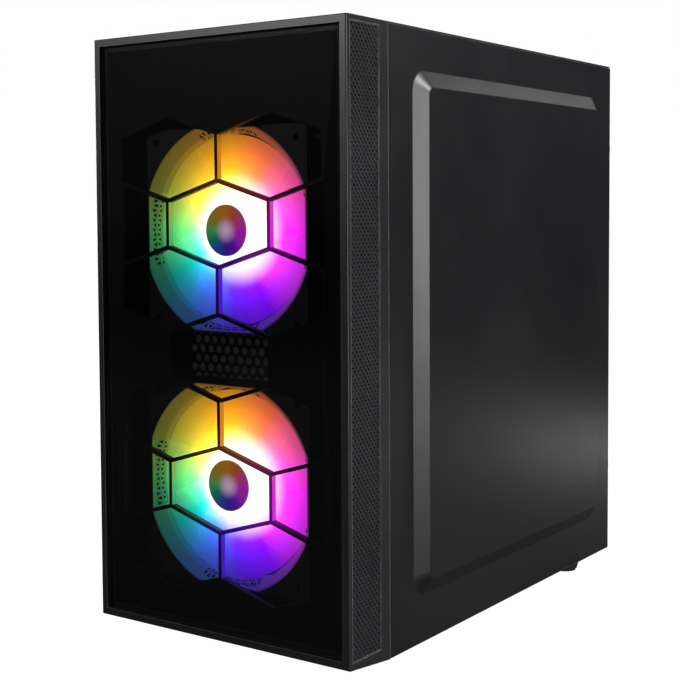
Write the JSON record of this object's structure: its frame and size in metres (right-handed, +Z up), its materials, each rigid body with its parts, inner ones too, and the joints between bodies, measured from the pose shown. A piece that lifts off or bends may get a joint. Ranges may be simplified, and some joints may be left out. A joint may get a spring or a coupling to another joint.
{
  "type": "desktop computer tower",
  "caption": "Black desktop computer tower: glass front over lit intake fans behind a honeycomb grille, pressed steel side panel, glass side panel, fitted interior.",
  "frame": {"origin": "centre of the whole tower's footprint on the floor, under its feet", "axes": "+Z up, +Y towards the rear of the case, +X to the right seen from the front"},
  "size_m": [0.2018, 0.349, 0.3709],
  "materials": {
    "steel_black": "satin powder coat",
    "abs_black": "fine satin moulding",
    "bezel_rim": "satin",
    "glass_tinted": "dark tint, polished",
    "glass_clear": "lightly tinted, polished",
    "rubber": "matt",
    "fan_black": "moulded",
    "frosted_plastic": "frosted",
    "aluminium": "mill finish",
    "copper": "bare copper",
    "pcb": "solder mask",
    "connector_plastic": "moulded",
    "bright_steel": "plated",
    "mesh": "satin black",
    "cable": "soft sleeve"
  },
  "bodies": {
    "chassis": {"base_pan": "steel_black", "rear_plate": "steel_black", "top_plate": "steel_black", "front_plate": "steel_black", "motherboard_tray": "steel_black", "psu_shroud": "steel_black", "feet": "rubber", "expansion_brackets": "bright_steel", "drive_cage": "steel_black", "hard_drive": "aluminium", "solid_state_drive": "aluminium", "io_shield": "bright_steel", "mainboard": "pcb", "board_sockets": "connector_plastic", "memory_modules": "pcb", "board_heatsinks": "aluminium", "heat_pipes": "copper", "cooler_fan_frame": "fan_black", "rear_port_block": "bright_steel", "fasteners": "bright_steel", "psu_housing": "steel_black", "psu_fan_frame": "fan_black", "power_inlet": "connector_plastic", "upper_fan_frame": "fan_black", "upper_fan_light_ring": "frosted_plastic", "lower_fan_frame": "fan_black", "lower_fan_light_ring": "frosted_plastic", "rear_fan_frame": "fan_black", "fan_motors": "copper", "graphics_board": "pcb", "graphics_heatsink": "aluminium", "graphics_shroud": "abs_black", "internal_cables": "cable"},
    "upper_fan": {"upper_fan_rotor": "frosted_plastic", "upper_fan_cap": "fan_black"},
    "lower_fan": {"lower_fan_rotor": "frosted_plastic", "lower_fan_cap": "fan_black"},
    "rear_fan": {"rear_fan_rotor": "fan_black"},
    "cooler_fan": {"cooler_rotor": "fan_black"},
    "psu_fan": {"psu_rotor": "fan_black"},
    "graphics_fan": {"graphics_rotor": "fan_black"},
    "mains_rocker": {"rocker_switch": "connector_plastic"},
    "front_panel": {"front_bezel": "bezel_rim", "intake_meshes": "mesh", "honeycomb_grille": "abs_black", "front_glass": "glass_tinted", "front_port_module": "connector_plastic"},
    "power_key": {"power_button": "abs_black"},
    "reset_key": {"reset_button": "abs_black"},
    "right_panel": {"right_side_panel": "steel_black"},
    "right_screw_upper": {"panel_thumbscrew_upper": "bright_steel"},
    "right_screw_lower": {"panel_thumbscrew_lower": "bright_steel"},
    "glass_panel": {"left_glass_panel": "glass_clear", "glass_washers": "rubber"},
    "glass_screw_front_lower": {"glass_thumbscrew_front_lower": "bright_steel"},
    "glass_screw_front_upper": {"glass_thumbscrew_front_upper": "bright_steel"},
    "glass_screw_rear_lower": {"glass_thumbscrew_rear_lower": "bright_steel"},
    "glass_screw_rear_upper": {"glass_thumbscrew_rear_upper": "bright_steel"},
    "roof_filter": {"top_filter": "mesh"},
    "supply_filter": {"psu_filter": "mesh"}
  },
  "joints": [
    {"name": "upper_fan_spin", "type": "hinge", "parent": "chassis", "child": "upper_fan", "pos_m": [0.00105, -0.15255, 0.253], "axis": [0, 1, 0], "continuous": true},
    {"name": "lower_fan_spin", "type": "hinge", "parent": "chassis", "child": "lower_fan", "pos_m": [0.00105, -0.15255, 0.103], "axis": [0, 1, 0], "continuous": true},
    {"name": "rear_fan_spin", "type": "hinge", "parent": "chassis", "child": "rear_fan", "pos_m": [-0.03595, 0.15265, 0.275], "axis": [0, 1, 0], "continuous": true},
    {"name": "cooler_fan_spin", "type": "hinge", "parent": "chassis", "child": "cooler_fan", "pos_m": [-0.01395, 0.00745, 0.275], "axis": [0, 1, 0], "continuous": true},
    {"name": "psu_fan_spin", "type": "hinge", "parent": "chassis", "child": "psu_fan", "pos_m": [-0.00195, 0.08765, 0.023], "axis": [0, 0, 1], "continuous": true},
    {"name": "graphics_fan_spin", "type": "hinge", "parent": "chassis", "child": "graphics_fan", "pos_m": [0.00795, 0.07945, 0.15], "axis": [0, 0, 1], "continuous": true},
    {"name": "mains_rocker_tilt", "type": "hinge", "parent": "chassis", "child": "mains_rocker", "pos_m": [0.05105, 0.16165, 0.0658], "axis": [1, 0, 0], "range_deg": [-8, 8]},
    {"name": "front_panel_pull", "type": "slide", "parent": "chassis", "child": "front_panel", "axis": [0, -1, 0], "range_m": [0, 0.03]},
    {"name": "power_key_press", "type": "slide", "parent": "front_panel", "child": "power_key", "axis": [0, 0, -1], "range_m": [0, 0.0015], "stiffness_N_per_m": 900, "springref_m": -0.0006},
    {"name": "reset_key_press", "type": "slide", "parent": "front_panel", "child": "reset_key", "axis": [0, 0, -1], "range_m": [0, 0.0015], "stiffness_N_per_m": 600, "springref_m": -0.0006},
    {"name": "right_panel_slide", "type": "slide", "parent": "chassis", "child": "right_panel", "axis": [0, 1, 0], "range_m": [0, 0.02]},
    {"name": "right_screw_upper_turn", "type": "hinge", "parent": "right_panel", "child": "right_screw_upper", "pos_m": [0.08605, 0.16755, 0.309], "axis": [0, 1, 0], "continuous": true},
    {"name": "right_screw_lower_turn", "type": "hinge", "parent": "right_panel", "child": "right_screw_lower", "pos_m": [0.08605, 0.16755, 0.071], "axis": [0, 1, 0], "continuous": true},
    {"name": "glass_panel_lift", "type": "slide", "parent": "chassis", "child": "glass_panel", "axis": [-1, 0, 0], "range_m": [0, 0.06]},
    {"name": "roof_filter_lift", "type": "slide", "parent": "chassis", "child": "roof_filter", "axis": [0, 0, 1], "range_m": [0, 0.04]},
    {"name": "supply_filter_slide", "type": "slide", "parent": "chassis", "child": "supply_filter", "axis": [0, 1, 0], "range_m": [0, 0.12]},
    {"name": "glass_screw_front_lower_turn", "type": "hinge", "parent": "glass_panel", "child": "glass_screw_front_lower", "pos_m": [-0.09385, -0.12155, 0.023], "axis": [1, 0, 0], "continuous": true},
    {"name": "glass_screw_front_upper_turn", "type": "hinge", "parent": "glass_panel", "child": "glass_screw_front_upper", "pos_m": [-0.09385, -0.12155, 0.355], "axis": [1, 0, 0], "continuous": true},
    {"name": "glass_screw_rear_lower_turn", "type": "hinge", "parent": "glass_panel", "child": "glass_screw_rear_lower", "pos_m": [-0.09385, 0.15545, 0.023], "axis": [1, 0, 0], "continuous": true},
    {"name": "glass_screw_rear_upper_turn", "type": "hinge", "parent": "glass_panel", "child": "glass_screw_rear_upper", "pos_m": [-0.09385, 0.15545, 0.355], "axis": [1, 0, 0], "continuous": true}
  ]
}
